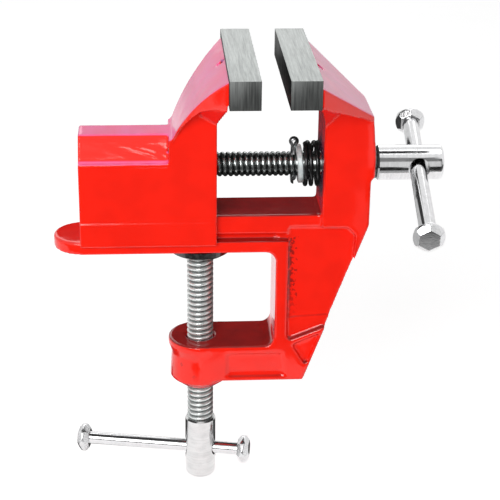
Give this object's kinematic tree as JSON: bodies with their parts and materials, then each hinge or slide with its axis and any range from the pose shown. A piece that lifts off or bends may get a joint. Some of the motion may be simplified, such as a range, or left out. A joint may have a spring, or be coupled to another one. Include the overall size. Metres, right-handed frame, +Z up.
{
  "type": "table clamp bench vise",
  "caption": "Small screw vise with wide plain jaws, a guided sliding jaw and a C-shaped frame that clamps under the edge of a table.",
  "frame": {"origin": "where the clamp screw's axis meets the underside of the base plate, the plane that rests on the table top", "axes": "+X along the vise spindle towards its handle, +Y away from the front, +Z up, along the clamp screw"},
  "size_m": [0.1224, 0.0736, 0.1468],
  "materials": {
    "painted_casting": "glossy red enamel on a cast body",
    "jaw_steel": "ground on top, milled on the other faces",
    "pin_steel": "plain steel pin",
    "spindle_steel": "oiled dark steel thread",
    "nut_steel": "plain steel",
    "washer_steel": "bright zinc",
    "spring_steel": "blackened spring wire",
    "split_pin_steel": "zinc",
    "collar_steel": "blackened",
    "head_chrome": "polished",
    "handle_chrome": "polished",
    "clamp_steel": "bright zinc",
    "pad_steel": "blackened, glossy"
  },
  "bodies": {
    "frame": {"frame_body": "painted_casting", "fixed_jaw_plate": "jaw_steel", "fixed_jaw_pin": "pin_steel"},
    "moving_jaw": {"moving_jaw_body": "painted_casting", "moving_jaw_plate": "jaw_steel", "moving_jaw_pin": "pin_steel", "spindle_nut": "nut_steel"},
    "spindle": {"spindle_screw": "spindle_steel", "spindle_head": "head_chrome", "split_pin": "split_pin_steel", "spring_washer": "washer_steel", "pressure_spring": "spring_steel", "thrust_collar": "collar_steel"},
    "spindle_handle": {"spindle_handle_bar": "handle_chrome", "spindle_handle_knob_top": "handle_chrome", "spindle_handle_knob_bottom": "handle_chrome"},
    "clamp_pad": {"clamp_pad": "pad_steel"},
    "clamp_screw": {"clamp_screw": "clamp_steel", "clamp_head": "head_chrome"},
    "clamp_handle": {"clamp_handle_bar": "handle_chrome", "clamp_handle_knob_left": "handle_chrome", "clamp_handle_knob_right": "handle_chrome"}
  },
  "joints": [
    {"name": "jaw_slide", "type": "slide", "parent": "frame", "child": "moving_jaw", "axis": [1, 0, 0], "range_m": [-0.026, 0.008]},
    {"name": "spindle_turn", "type": "hinge", "parent": "frame", "child": "spindle", "pos_m": [0.03, 0, 0.0262], "axis": [1, 0, 0], "range_deg": [-1650.7, 5353.6]},
    {"name": "spindle_handle_slide", "type": "slide", "parent": "spindle", "child": "spindle_handle", "axis": [-0.0665, -0.9759, -0.2079], "range_m": [-0.0334, 0.0175]},
    {"name": "clamp_lift", "type": "slide", "parent": "frame", "child": "clamp_pad", "axis": [0, 0, 1], "range_m": [-0.029, 0]},
    {"name": "clamp_turn", "type": "hinge", "parent": "clamp_pad", "child": "clamp_screw", "pos_m": [0, 0, -0.03], "axis": [0, 0, 1], "range_deg": [-5970.7, 5]},
    {"name": "clamp_handle_slide", "type": "slide", "parent": "clamp_screw", "child": "clamp_handle", "axis": [0.9813, -0.1925, 0], "range_m": [-0.0074, 0.0327]}
  ],
  "couplings": [
    {"joint": "spindle_turn", "follows": "jaw_slide", "rad_per_m": -3590.4},
    {"joint": "clamp_turn", "follows": "clamp_lift", "rad_per_m": 3590.4}
  ]
}
